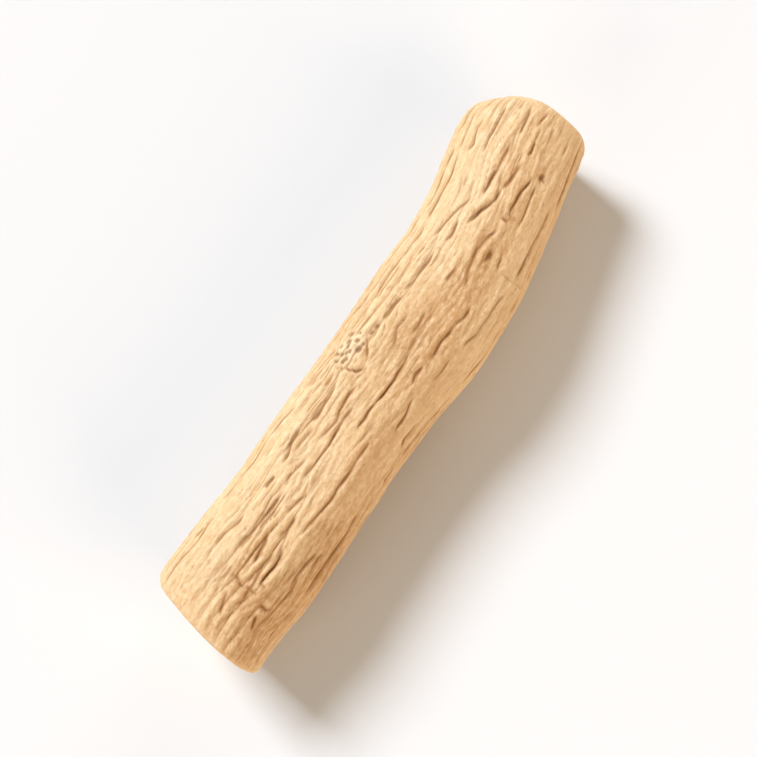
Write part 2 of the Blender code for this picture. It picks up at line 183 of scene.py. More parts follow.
# Short folds across the grain, drawn the same way
FOLDS_ABOVE = (
    (0.60, (-23.4, 2.00), (-23.4, 1.00), (-23.8, 0.10), (-23.6, -0.80), (-23.9, -1.80)),
    (0.45, (-24.4, -2.10), (-24.5, -3.20)),
    (0.30, (-26.8, -2.70), (-25.2, -2.50)),
    (0.30, (-27.3, 0.10), (-26.6, 0.48), (-25.6, 0.65), (-24.5, 1.00)),
    (0.42, (-2.2, 3.60), (-1.75, 2.60), (-1.50, 1.60), (-0.9, 1.22), (-0.3, 1.20)),
    (0.38, (-0.2, 1.15), (0.6, 1.50), (1.3, 1.95), (2.2, 2.55)),
    (0.25, (12.45, 1.40), (12.45, 0.60)),
    (0.30, (18.1, -2.00), (18.1, -3.00)),
)

# Fainter lines between them, too fine for the solid, drawn the same way
FAINT_LINES_ABOVE = (
    (0.16, (-26.8, 2.80), (-24.5, 2.95), (-22.8, 2.75), (-21.4, 2.42)),
    (0.14, (-28.5, -0.05), (-27.4, -0.05)),
    (0.12, (-22.0, 4.75), (-21.0, 4.70)),
    (0.16, (-20.5, 2.70), (-19.5, 2.60), (-18.7, 2.20)),
    (0.16, (-22.5, -3.00), (-21.3, -3.20), (-20.5, -3.30)),
    (0.15, (-15.0, -4.55), (-13.5, -4.60)),
    (0.18, (-12.2, 2.30), (-11.3, 2.10)),
    (0.20, (-10.8, 2.20), (-10.0, 2.35), (-9.0, 2.25)),
    (0.20, (-13.0, -0.40), (-12.0, -0.65), (-9.5, -0.70)),
    (0.15, (-12.0, -1.90), (-10.0, -1.85)),
    (0.14, (-9.5, -5.20), (-8.5, -5.30)),
    (0.15, (-1.0, -6.00), (1.0, -6.20)),
    (0.20, (1.0, -4.75), (2.0, -4.95), (3.3, -5.20), (4.5, -5.30)),
    (0.16, (2.0, -1.00), (3.0, -1.05)),
    (0.16, (7.0, -0.50), (8.0, -0.60)),
    (0.18, (10.0, 3.55), (12.5, 3.50), (13.5, 3.20)),
    (0.25, (13.5, -4.60), (14.5, -4.60), (15.3, -4.30)),
    (0.16, (13.7, -4.50), (13.6, -6.00), (13.8, -7.80)),
    (0.20, (19.0, 2.40), (19.7, 2.45), (20.3, 2.50)),
    (0.16, (19.8, -4.90), (20.3, -4.75)),
    (0.18, (26.6, -2.40), (28.5, -2.20)),
    (0.18, (26.5, -4.10), (28.0, -3.90)),
    (0.20, (-18.3, -0.55), (-17.3, -0.75)),
    (0.16, (-25.4, 1.70), (-25.0, 1.90)),
    (0.20, (-22.9, -1.00), (-22.7, -1.50), (-22.9, -1.90)),
    (0.20, (24.1, -3.20), (24.8, -3.50)),
    (0.20, (23.6, -3.80), (23.3, -4.20)),
)
FAINT_REACH = 0.32
FAINT_CREASE_REACH = 0.20

# More of them by lot, over the whole bark: how many, length, depth, and how far one strays at each point
FAINT_SEED = 23
FAINT_COUNT = 820
FAINT_LENGTH = (0.8, 6.4)
FAINT_DEPTH = (0.06, 0.26)
FAINT_WANDER = 0.18

# Knots, warts, scars and pits of the upper side: x, y, reach along, reach across, height
KNOBS_ABOVE = (
    (-16.2, 0.65, 3.4, 0.75, 0.28),
    (-19.0, -2.05, 3.6, 0.60, 0.30),
    (-23.2, -1.28, 0.50, 0.55, 0.35),
    (-21.0, -1.02, 1.20, 0.30, 0.15),
    (-1.95, 1.60, 0.50, 2.30, 0.32),
    (0.30, 3.00, 1.90, 1.60, 0.34),
    (14.40, -2.72, 0.80, 0.40, 0.25),
    (14.35, -3.15, 0.75, 0.42, -0.50),
    (24.20, -2.65, 0.60, 0.50, 0.25),
    (23.65, -3.60, 0.42, 0.34, -0.45),
)
# Smaller dents of the same kind, too fine for the solid
DENTS_ABOVE = (
    (-23.50, 3.70, 0.22, 0.20, -0.18),
    (-25.20, 1.80, 0.20, 0.16, -0.14),
)

# The rootlet scar of the upper side is a pale cushion with small pits in it: x, y, reach along and across
SCAR_ABOVE = (0.30, 3.00)
SCAR_REACH = (1.9, 1.45)
SCAR_PITS_ABOVE = (
    (-0.70, 3.85, 0.24, 0.46), (-0.56, 3.45, 0.22, 0.40), (-0.32, 3.10, 0.26, 0.32),
    (-0.06, 2.86, 0.25, 0.28), (-1.20, 2.94, 0.30, 0.25), (-0.82, 2.80, 0.28, 0.24),
    (0.42, 3.32, 0.34, 0.30), (0.86, 3.52, 0.34, 0.32), (1.63, 3.70, 0.38, 0.36),
    (1.20, 2.85, 0.28, 0.34), (0.50, 2.36, 0.42, 0.36), (1.98, 3.05, 0.22, 0.26),
    (-1.34, 3.62, 0.20, 0.28), (0.14, 3.78, 0.18, 0.24), (1.12, 2.28, 0.20, 0.20),
    (2.48, 2.22, 0.30, 0.24), (3.22, 2.12, 0.28, 0.24),
)
SCAR_PIT_DEPTH = 0.20

# Rootlet scars where the root is out of sight from above: x, angle
HIDDEN_SCARS = ((-13.0, 214.0), (17.0, 236.0), (-4.0, 322.0))
HIDDEN_SCAR_REACH = (1.7, 1.1)
HIDDEN_SCAR_RISE = 0.32
HIDDEN_SCAR_DIP = 0.55

# Grooves out of sight from above, in lanes drawn by lot, as in the solid
LANE_SEED = 17
LANES_FROM, LANES_TO, LANE_STEP = 160.0, 402.0, 12.4
FLANK_BEFORE, FLANK_AFTER, FLANK_SHARE = 192.0, 352.0, 0.6
LANE_DEPTH = (0.34, 0.66)
LANE_LENGTH = (4.0, 12.0)
LANE_GAP = (-0.8, 1.6)
LANE_WANDER = 3.2

# The slow unevenness of the whole girth: waves round, turns over the length, height, phase
LOBES = ((3, 0.35, 0.10, 0.4), (5, -0.55, 0.09, 2.1), (8, 0.80, 0.06, 4.4))

# Browner places of the upper side, and paler ones where the strength is below nothing: x, y, reach along
# and across, strength. Most browner ones are stains; the long rows low on the -Y side darken it towards the
# bottom, and the lowest of them is painted shade.
STAINS_AND_SHADE_ABOVE = (
    (-27.0, -2.8, 4.0, 2.2, 1.00),
    (-24.2, -1.1, 2.0, 1.8, 0.80),
    (-20.9, 1.05, 2.5, 0.85, 0.95),
    (-3.3, 3.30, 1.3, 0.40, 0.80),
    (3.2, 0.30, 2.6, 0.60, 0.60),
    (0.5, -1.70, 2.5, 0.70, 0.45),
    (5.8, -1.50, 4.4, 1.50, 1.00),
    (12.5, -2.60, 3.6, 1.30, 0.45),
    (14.4, -2.60, 1.8, 1.00, 0.70),
    # The next two long rows darken the -Y side towards the bottom
    (-9.0, -3.10, 9.0, 1.30, 0.60),
    (8.0, -3.50, 9.0, 1.60, 0.75),
    (19.0, -2.80, 2.4, 0.90, 0.55),
    # Painted shade darkening the lower flank
    (-20.0, -5.20, 8.0, 1.9, 1.20),
    (-12.5, 0.1, 6.2, 1.9, -0.75),
    (18.5, 1.4, 6.5, 1.7, -0.55),
    (-22.5, 3.2, 3.5, 1.3, -0.55),
    (14.0, -6.3, 15.0, 1.5, -0.45),
)

# Others out of sight from above: x, angle, reach along and across, strength
HIDDEN_STAINS = (
    (-21.0, 352.0, 6.0, 2.2, 0.60),
    (6.0, 12.0, 7.0, 1.6, 0.50),
    (20.0, 338.0, 6.0, 2.4, 0.70),
    (-6.0, 300.0, 8.0, 3.0, 0.60),
    (12.0, 262.0, 9.0, 3.0, 0.70),
    (-16.0, 232.0, 7.0, 2.6, 0.60),
    (24.0, 208.0, 4.0, 2.2, 0.60),
)
# How far from each cut the rim is paler: worn bark, and partly a painted highlight where the edge catches
# light
RIM_WEAR_AND_HIGHLIGHT_REACH = 0.40

# Fine wrinkles along the root, too small for the solid: how many go round, over which length one sways,
# how far it sways in widths of one, height, seed, and how much painted shade lies in its crease.
# Most of their height is lost inside a groove.
WRINKLES = (
    (30, 11.0, 0.65, 0.190, 31, 0.75),
    (56, 4.2, 0.95, 0.120, 32, 0.70),
)
RIDGE_MIDDLE = 0.60
CREASE_WIDTH = 0.36
WRINKLES_LOST = 0.75
WRINKLES_LOST_DEPTH = 0.2

# A sway is as wide as this many wrinkles. The patches that show them: length in sways, width in wrinkles,
# level, swing, and how far their seed lies from that of the sway.
SWAY_WIDE = 2.6
SHOWS_LONG, SHOWS_WIDE = 0.6, 1.7
SHOWS_LEVEL, SHOWS_SWING = 0.65, 0.9
SHOWS_SEED_STEP = 100

# Low swells under them: length, width, height, seed. Fine lines across: the same, and the line's width.
SWELLS = ((5.5, 1.6, 0.050, 41), (1.5, 0.75, 0.026, 42), (0.70, 0.50, 0.020, 43))
CROSS_WRINKLES = ((0.85, 2.6, 0.024, 51, 0.22),)

# Large patches of rougher and calmer bark: length, width, seed, then level, swing, and least and most
WRINKLE_PATCH = (14.0, 5.0, 61)
ROUGH_LEVEL, ROUGH_SWING = 0.80, 0.40
ROUGH_LEAST, ROUGH_MOST = 0.2, 1.4

# Where the wrinkles of the upper side show more or less than elsewhere: x, y, reach along and across, gain
ROUGH_ABOVE = (
    (-19.0, 0.2, 6.0, 2.2, 0.35),
    (-8.0, 1.6, 6.5, 1.8, 0.30),
    (22.0, 0.4, 7.5, 2.6, 0.30),
    (-19.0, 5.3, 10.0, 1.9, -0.55),
    (5.0, -6.0, 13.0, 2.0, -0.55),
    (-13.0, -4.8, 7.0, 1.6, -0.05),
    (-23.0, -3.6, 5.0, 1.3, -0.05),
    (15.5, 3.4, 3.5, 1.1, -0.35),
    (19.0, -4.4, 9.0, 1.7, -0.50),
    (-25.8, 3.2, 3.6, 1.5, -0.50),
)

# How far lines stray sideways, and how far the fine wrinkles drift: length, width, distance, seed
WANDERS = ((3.2, 1.6, 0.16, 71), (1.2, 0.8, 0.12, 72))
DRIFT = (9.0, 4.0, 0.45, 73)

# The bark is calmer near a cut: what is left of its relief there, and how far that reaches
CALM_SHARE = 0.30
CALM_REACH = 1.6

# A dip gets painted shade that grows with its depth, up to a limit. The bark counts as raised over this
# range of height.
DIP_SHADE_DEPTH, DIP_SHADE_MOST = 0.6, 0.7
RAISED_RANGE = 0.4

# The cut faces. Rays, rings and dents: length along the radius, width round the rim, height, seed.
# They have their full height from this share of the radius on, and fade over this share of it at the rim.
FACE_RELIEF = ((2.6, 1.0, 0.055, 91), (0.45, 7.0, 0.030, 92), (0.9, 1.9, 0.040, 93))
FACE_RELIEF_FROM, FACE_RELIEF_END = 0.35, 0.12

# Their cracks: angle in degrees, from and to which share of the radius, half width, depth.
# They stray sideways by length, width, distance and seed, thin out at both ends over a share of the
# radius, keep clear of the pith, and have their full painted shade from a certain depth on.
END_CRACKS = (
    ((64.0, 0.38, 0.56, 0.10, 0.20), (148.0, 0.40, 0.52, 0.08, 0.16), (225.0, 0.36, 0.58, 0.10, 0.22),
     (238.0, 0.40, 0.50, 0.08, 0.15), (318.0, 0.44, 0.60, 0.09, 0.18), (12.0, 0.80, 0.96, 0.10, 0.18)),
    ((28.0, 0.38, 0.54, 0.09, 0.18), (110.0, 0.36, 0.60, 0.10, 0.22), (121.0, 0.40, 0.52, 0.08, 0.16),
     (196.0, 0.40, 0.56, 0.08, 0.16), (262.0, 0.38, 0.50, 0.09, 0.18), (335.0, 0.78, 0.95, 0.10, 0.18)),
)
CRACK_WANDER = (1.2, 9.0, 0.30, 95)
CRACK_RUN_OUT = 0.10
CRACKS_FROM = 0.1
CRACK_SHADE_DEPTH = 0.22

# The rings of a cut face are this much rounder than its rim, most so near the pith
ROUNDER_SHARE = 0.5

# Colours of the root, as linear red, green and blue
CREAM = (0.79, 0.603, 0.360, 1.0)
TAN = (0.68, 0.465, 0.240, 1.0)
BROWN = (0.50, 0.285, 0.120, 1.0)
# Painted shade of grooves, creases and dips
CREASE_SHADE_BROWN = (0.33, 0.160, 0.060, 1.0)
SCAR_PALE = (0.81, 0.645, 0.425, 1.0)
# Painted shade at the bottom of the scar's pits
PIT_SHADE_BROWN = (0.27, 0.145, 0.062, 1.0)
PALE = (0.89, 0.705, 0.450, 1.0)
SPECK_BROWN = (0.36, 0.195, 0.080, 1.0)
CORTEX = (0.82, 0.575, 0.330, 1.0)
WOOD = (0.96, 0.715, 0.430, 1.0)
CAMBIUM = (0.66, 0.410, 0.200, 1.0)
STARCH = (0.90, 0.750, 0.530, 1.0)
PITH = (0.45, 0.280, 0.140, 1.0)

# The bark's finish. Streaks of four sizes: length, width, detail. Roughness from and to, shine, and the
# strength and depth in metres of its bump.
BARK_STREAKS = ((16.0, 5.0, 3.0), (4.2, 0.70, 4.0), (1.3, 0.42, 4.0), (0.75, 0.42, 4.0))
BARK_ROUGHNESS = (0.78, 0.95)
BARK_SHINE = 0.25
BARK_BUMP = (0.8, 0.00017)

# The finish of a cut face, the same way. Its rays and rings: how many round, how many from pith to rim.
# Its colours by share of the radius, and how far their rings stray.
CUT_PATCHES = (1.6, 1.3, 4.0)
CUT_RAYS = ((9.0, 1.4), (24.0, 5.0), (1.1, 19.0))
CUT_COLOURS = (
    (0.0, PITH), (0.02, PITH), (0.05, WOOD), (0.30, WOOD),
    (0.38, CAMBIUM), (0.44, CAMBIUM), (0.62, CORTEX), (1.0, CORTEX),
)
RING_STRAY = 0.05
CUT_ROUGHNESS = (0.82, 0.97)
CUT_SHINE = 0.2
CUT_BUMP = (0.7, 0.00009)

# The floor
FLOOR_SIZE = 40.0
FLOOR_COLOUR = (0.69, 0.72, 0.75, 1.0)
FLOOR_ROUGHNESS = 0.8

# The photograph's view: looked down on steeply, the root running up to the right
VIEW_ELEVATION = math.radians(78.0)
VIEW_TURN = math.radians(58.66)
VIEW_CENTRE = Vector((0.0, 0.0, 0.006))
FRAME_WIDTH = 0.071
LENS = 135.0
SENSOR = 36.0
CLIP = (0.01, 10.0)

# Lights: name, direction it comes from (x, y), elevation, how wide it looks, strength, colour
LIGHTS = (
    ("key", (0.18, 0.98), 41.0, 22.0, 3.90, (0.98, 1.0, 1.05)),
    ("fill", (-0.2, -0.98), 22.0, 40.0, 1.95, (1.0, 0.72, 0.48)),
    ("left_side", (-1.0, 0.15), 16.0, 40.0, 1.0, (1.0, 0.87, 0.72)),
    ("right_side", (1.0, 0.15), 16.0, 40.0, 0.9, (1.0, 0.87, 0.72)),
)
AMBIENT = (1.0, 0.90, 0.77, 1.0)
AMBIENT_STRENGTH = 0.24


def smooth(share):
    """A share held between 0 and 1, with a soft start and a soft end."""
    share = np.clip(share, 0.0, 1.0)
    return share * share * (3 - 2 * share)


def through(table, column, x):
    """A smooth curve through one column of a table whose first column is x."""
    xs = np.array([row[0] for row in table])
    ys = np.array([row[column] for row in table])
    slopes = np.gradient(ys, xs)
    i = np.clip(np.searchsorted(xs, x) - 1, 0, len(xs) - 2)
    span = xs[i + 1] - xs[i]
    t = np.clip((x - xs[i]) / span, 0.0, 1.0)
    start = ys[i] * (1 + 2 * t) * (1 - t) ** 2 + slopes[i] * span * t * (1 - t) ** 2
    end = ys[i + 1] * t * t * (3 - 2 * t) + slopes[i + 1] * span * t * t * (t - 1)
    return start + end


def near_rest_spot(x):
    """One at the places where it rests, falling away to nothing between them."""
    return np.minimum(sum(np.exp(-(((x - spot) / REST_SPOT_LONG) ** 2)) for spot in REST_SPOTS), 1.0)


def section(x):
    """The centre line's y and z, the half width and the half height at x."""
    far, near = through(OUTLINE, 1, x), through(OUTLINE, 2, x)
    half_width = (far - near) / 2
    half_height = half_width * HEIGHT_TO_WIDTH
    clear = REST_ARCH * (1 - near_rest_spot(x))
    return (far + near) / 2, half_height - REST_CUT + clear, half_width, half_height


def unrolled(x, y):
    """Where a point drawn from above lies on the bark: x and the length round from the +Y side."""
    centre, _, half_width, _ = section(np.array(x, float))
    side = np.clip((centre - y) / half_width, -1.0, 1.0)
    return np.stack([np.array(x, float), (FACING_ANGLE + np.arcsin(side)) * BARK_RADIUS], -1)


def noise(x, round_length, long, wide, seed):
    """Smooth uneven values from -1 to 1, with patches of the given length and width, joined round."""
    turns = round(ROUND / wide)
    rows = int(LENGTH * 1.2 / long) + 4
    table = np.random.default_rng(seed).uniform(-1, 1, (rows, turns))
    u = (x + LENGTH * 0.6) / long
    v = round_length % ROUND / ROUND * turns
    i, j = np.floor(u).astype(int), np.floor(v).astype(int) % turns
    s, t = smooth(u - np.floor(u)), smooth(v - np.floor(v))
    other = (j + 1) % turns
    low = table[i, j] * (1 - t) + table[i, other] * t
    high = table[i + 1, j] * (1 - t) + table[i + 1, other] * t
    return low * (1 - s) + high * s


def ridges(x, round_length, count, long, sway, seed):
    """Wrinkles along the root, as 0 in a crease to 1 on a ridge, and how much they show at each point."""
    wide = ROUND / count
    aside = sway * wide * noise(x, round_length, long, SWAY_WIDE * wide, seed)
    ridge = np.abs(np.sin(math.pi * (round_length + aside) / wide))
    patch = noise(x, round_length, SHOWS_LONG * long, SHOWS_WIDE * wide, seed + SHOWS_SEED_STEP)
    return ridge, smooth(SHOWS_LEVEL + SHOWS_SWING * patch)


def crease(x, round_length, long, wide, seed, width):
    """One along thin wandering lines, and nothing away from them."""
    return np.clip(1 - np.abs(noise(x, round_length, long, wide, seed)) / width, 0.0, 1.0)


def line_on_bark(spot, line):
    """Distance from each bark point to a drawn line, and how far along the line's own length that is."""
    best = np.full(len(spot), 1e9)
    along = np.zeros(len(spot))
    done = 0.0
    for a, b in zip(line[:-1], line[1:]):
        run = b - a
        length = np.hypot(*run)
        t = np.clip(((spot - a) @ run) / length**2, 0.0, 1.0)
        gap = spot - a - t[:, None] * run
        distance = np.hypot(gap[:, 0], gap[:, 1])
        along = np.where(distance < best, done + t * length, along)
        best = np.minimum(distance, best)
        done += length
    return best, along, done


def cut_groove(cut, lip, painted_shade, spot, line, depth, reach, crease_reach):
    """Adds one groove to the depth of cut, the height of lip and the painted shade of the points near it."""
    room = reach + 2 * LIP_WIDTH
    near = np.all((spot > line.min(0) - room) & (spot < line.max(0) + room), -1)
    if not near.any():
        return
    distance, along, length = line_on_bark(spot[near], line)
    run_out = min(GROOVE_RUN_OUT, length * RUN_OUT_SHARE)
    taper = smooth(np.minimum(along, length - along) / run_out) ** RUN_OUT_POWER
    narrow = GROOVE_END_WIDTH + (1 - GROOVE_END_WIDTH) * taper
    long, wide, swing, seed = UNEVEN_DEPTH
    share = taper * (1 + swing * noise(spot[near, 0], spot[near, 1], long, wide, seed))
    fold = 1 - np.sin(math.pi / 2 * np.clip(distance / (reach * narrow), 0.0, 1.0))
    bottom = smooth(1 - distance / (crease_reach * narrow))
    beside = np.exp(-(((distance - reach) / LIP_WIDTH) ** 2))
    cut[near] = np.maximum(cut[near], DEPTH_SHARE * depth * share * fold)
    lip[near] = np.maximum(lip[near], depth * share * LIP_SHARE * beside)
    # Painted shade: along the groove's bottom and a little on its shoulders, growing with its depth
    shade = share * min(depth / DARKEST_FROM, 1.0)
    shade = shade * (SHOULDER_SHADE * fold + (1 - SHOULDER_SHADE) * bottom)
    painted_shade[near] = np.maximum(painted_shade[near], shade)


def knob(x, round_length, centre, reach_along, reach_across, height):
    """A rounded rise, or a dip where the height is below nothing."""
    across = (round_length - centre[1] + ROUND / 2) % ROUND - ROUND / 2
    return height * np.exp(-(((x - centre[0]) / reach_along) ** 2) - (across / reach_across) ** 2)


def grooves_by_lot():
    """Grooves in lanes along the rest of the bark: each one wanders a little and ends near the next."""
    draw = np.random.default_rng(LANE_SEED)
    lines = []
    for lane in np.arange(LANES_FROM, LANES_TO, LANE_STEP):
        share = 1.0 if FLANK_BEFORE < lane < FLANK_AFTER else FLANK_SHARE
        start = -LENGTH / 2 + draw.uniform(-1.0, 3.0)
        while start < LENGTH / 2 - 3:
            length = draw.uniform(*LANE_LENGTH)
            xs = np.linspace(start, start + length, 4)
            angles = lane + np.cumsum(draw.uniform(-LANE_WANDER, LANE_WANDER, 4))
            line = np.stack([xs, np.radians(angles) * BARK_RADIUS], -1)
            lines.append((draw.uniform(*LANE_DEPTH) * share, line))
            start += length + draw.uniform(*LANE_GAP)
    return lines


def faint_by_lot():
    """Short faint lines scattered over the whole bark, nearly along it."""
    draw = np.random.default_rng(FAINT_SEED)
    lines = []
    for _ in range(FAINT_COUNT):
        start = np.array([draw.uniform(-LENGTH / 2, LENGTH / 2), draw.uniform(0, ROUND)])
        length = draw.uniform(*FAINT_LENGTH)
        xs = start[0] + np.linspace(0, length, 4)
        rounds = start[1] + np.cumsum(draw.uniform(-FAINT_WANDER, FAINT_WANDER, 4))
        lines.append((draw.uniform(*FAINT_DEPTH), np.stack([xs, rounds], -1)))
    return lines


def drawn_lines(rows):
    """Lines drawn from above, as depth and points on the unrolled bark."""
    return [(row[0], unrolled(*np.array(row[1:]).T)) for row in rows]


def astray(x, round_length, rows):
    """How far each point strays: uneven patches added up, of a length, width, distance and seed each."""
    return sum(far * noise(x, round_length, long, wide, seed) for long, wide, far, seed in rows)


def all_grooves(x, round_length):
    """Depth of cut, height of lip and painted shade of the grooves at each point."""
    wander = astray(x, round_length, WANDERS)
    cut, lip, painted_shade = np.zeros(len(x)), np.zeros(len(x)), np.zeros(len(x))
    main = drawn_lines(GROOVES_ABOVE + FOLDS_ABOVE) + grooves_by_lot()
    faint = [np.zeros(len(x)), np.zeros(len(x)), np.zeros(len(x))]
    for lap in (0.0, ROUND):
        spot = np.stack([x, round_length + wander + lap], -1)
        for depth, line in main:
            reach = GROOVE_REACH + GROOVE_REACH_PER_DEPTH * depth
            cut_groove(cut, lip, painted_shade, spot, line, depth, reach, CREASE_REACH)
        for depth, line in drawn_lines(FAINT_LINES_ABOVE):
            cut_groove(cut, lip, painted_shade, spot, line, depth, FAINT_REACH, FAINT_CREASE_REACH)
        for depth, line in faint_by_lot():
            cut_groove(*faint, spot, line, depth, FAINT_REACH, FAINT_CREASE_REACH)
    gain = roughness(x, round_length)
    return [np.maximum(drawn, lot * gain) for drawn, lot in zip((cut, lip, painted_shade), faint)]


def scar_pits(x, round_length):
    """One at the bottom of each pit of the upper scar, and nothing away from them."""
    pits = np.zeros(len(x))
    for pit_x, pit_y, along, across in SCAR_PITS_ABOVE:
        pits = np.maximum(pits, knob(x, round_length, unrolled(pit_x, pit_y), along, across, 1.0))
    return pits


def knobs_and_scars(x, round_length):
    """The knots, warts, scars and pits at each point."""
    shape = np.zeros(len(x))
    for knob_x, knob_y, along, across, height in KNOBS_ABOVE + DENTS_ABOVE:
        shape += knob(x, round_length, unrolled(knob_x, knob_y), along, across, height)
    for scar_x, scar_angle in HIDDEN_SCARS:
        centre = (scar_x, math.radians(scar_angle) * BARK_RADIUS)
        along, across = HIDDEN_SCAR_REACH
        shape += knob(x, round_length, centre, along, across, HIDDEN_SCAR_RISE)
        shape -= knob(x, round_length, centre, along / 2, across / 2, HIDDEN_SCAR_DIP)
    return shape - SCAR_PIT_DEPTH * scar_pits(x, round_length)


def stains_and_shade(x, round_length):
    """How brown the bark is at each point, from stains and from painted shade low on its -Y side, and how
    much paler it is where below nothing.
    """
    total = np.zeros(len(x))
    for stain_x, stain_y, along, across, strength in STAINS_AND_SHADE_ABOVE:
        total += knob(x, round_length, unrolled(stain_x, stain_y), along, across, strength)
    for stain_x, angle, along, across, strength in HIDDEN_STAINS:
        total += knob(x, round_length, (stain_x, math.radians(angle) * BARK_RADIUS), along, across, strength)
    return np.clip(total, -1, 1)


def roughness(x, round_length):
    """How much the fine wrinkles and faint lines show at each point: more in some patches than in others."""
    gain = ROUGH_LEVEL + ROUGH_SWING * noise(x, round_length, *WRINKLE_PATCH)
    for rough_x, rough_y, along, across, more in ROUGH_ABOVE:
        gain += knob(x, round_length, unrolled(rough_x, rough_y), along, across, more)
    return np.clip(gain, ROUGH_LEAST, ROUGH_MOST)


def fine_wrinkles(x, round_length):
    """The small unevenness that the solid leaves out, and the painted shade in its creases."""
    gain = roughness(x, round_length)
    round_length = round_length + astray(x, round_length, WANDERS + (DRIFT,))
    shape = astray(x, round_length, SWELLS)
    painted_shade = np.zeros(len(x))
    for count, long, sway, high, seed, darkness in WRINKLES:
        ridge, shows = ridges(x, round_length, count, long, sway, seed)
        shape += high * gain * shows * (ridge - RIDGE_MIDDLE)
        # Painted shade in the creases of the wrinkles
        painted_shade = np.maximum(painted_shade, darkness * gain * shows * np.clip(1 - ridge / CREASE_WIDTH, 0.0, 1.0))
    for long, wide, high, seed, width in CROSS_WRINKLES:
        shape -= high * gain * crease(x, round_length, long, wide, seed, width)
    return shape, painted_shade


def relief(x, angle, from_cut):
    """How far the bark stands out from its plain oval section, the painted shade on it and how raised it is.
    """
    round_length = angle % (2 * math.pi) * BARK_RADIUS
    shape = sum(h * np.sin(n * angle + t * 2 * math.pi * x / LENGTH + p) for n, t, h, p in LOBES)
    cut, lip, painted_shade = all_grooves(x, round_length)
    knobs = knobs_and_scars(x, round_length)
    wrinkles, crease_shade = fine_wrinkles(x, round_length)
    wrinkles = wrinkles * (1 - WRINKLES_LOST * smooth(cut / WRINKLES_LOST_DEPTH))
    calm = CALM_SHARE + (1 - CALM_SHARE) * smooth(from_cut / CALM_REACH)
    small = (lip + wrinkles - cut) * calm
    under = np.exp(-(((angle - UNDER) * BARK_RADIUS / REST_SPOT_WIDE) ** 4))
    # Painted shade in dips, growing with their depth
    dip_shade = np.clip(-knobs / DIP_SHADE_DEPTH, 0, DIP_SHADE_MOST)
    painted_shade = np.maximum(np.maximum(painted_shade, crease_shade) * calm, dip_shade)
    raised = np.clip(0.5 + (knobs + small) / RAISED_RANGE, 0, 1)
    return (shape + knobs + small) * (1 - under * near_rest_spot(x)), painted_shade, raised


def cut_plane(end, lean, angle):
    """x of a leaning cut at each angle of its rim. Only its outermost point reaches the end."""
    _, _, half_width, half_height = section(end)
    shift = lean[0] * half_width * np.cos(angle) + lean[1] * half_height * np.sin(angle)
    return end + shift - math.copysign(math.hypot(lean[0] * half_width, lean[1] * half_height), end)


def worn_edge(from_cut, angle, corner):
    """How far the bark edge is worn in near a cut: corner is 1 where its far corner is worn most."""
    facing = corner * np.clip(np.cos(angle - FAR_CORNER_ANGLE), 0.0, 1.0) ** 2
    along = EDGE_ROUND_ALONG + facing * (FAR_CORNER_ALONG - EDGE_ROUND_ALONG)
    inwards = EDGE_ROUND_IN + facing * (FAR_CORNER_IN - EDGE_ROUND_IN)
    share = np.clip(1 - from_cut / along, 0.0, 1.0)
    return inwards * (1 - np.sqrt(1 - share**2))


def bark(share, angle):
    """Points of the bark, the painted shade on each and how raised each is: share is 0 at the left cut,
    1 at the right.
    """
    left = cut_plane(-LENGTH / 2, LEFT_LEAN, angle)
    right = cut_plane(LENGTH / 2, RIGHT_LEAN, angle)
    x = left + share * (right - left)
    y, z, half_width, half_height = section(x)
    out, painted_shade, raised = relief(x, angle, np.minimum(x - left, right - x))
    out = out - worn_edge(x - left, angle, 0.0) - worn_edge(right - x, angle, 1.0)
    y = y + (half_width + out) * np.cos(angle)
    z = z + (half_height + out) * np.sin(angle)
    return np.stack([x, y, np.maximum(z, 0.0)], -1), painted_shade, raised


def end_cracks(rows, angle, radius):
    """How deep each point of a cut face lies in a crack."""
    depth = np.zeros(len(angle))
    stray = astray(radius * BARK_RADIUS, angle * BARK_RADIUS, (CRACK_WANDER,))
    for degrees, start, end, half_width, deep in rows:
        turn = (angle - math.radians(degrees) + math.pi) % (2 * math.pi) - math.pi
        across = np.abs(turn * radius * BARK_RADIUS + stray)
        along = smooth((radius - start) / CRACK_RUN_OUT) * smooth((end - radius) / CRACK_RUN_OUT)
        depth = np.maximum(depth, deep * along * np.clip(1 - across / half_width, 0.0, 1.0))
    return np.where(radius > CRACKS_FROM, depth, 0.0)


def end_relief(angle, radius):
    """The rays, rings and dents of a cut face."""
    start = smooth(radius / FACE_RELIEF_FROM)
    rows = ((long, wide, high * start, seed) for long, wide, high, seed in FACE_RELIEF)
    return astray(radius * BARK_RADIUS, angle * BARK_RADIUS, rows) * smooth((1 - radius) / FACE_RELIEF_END)


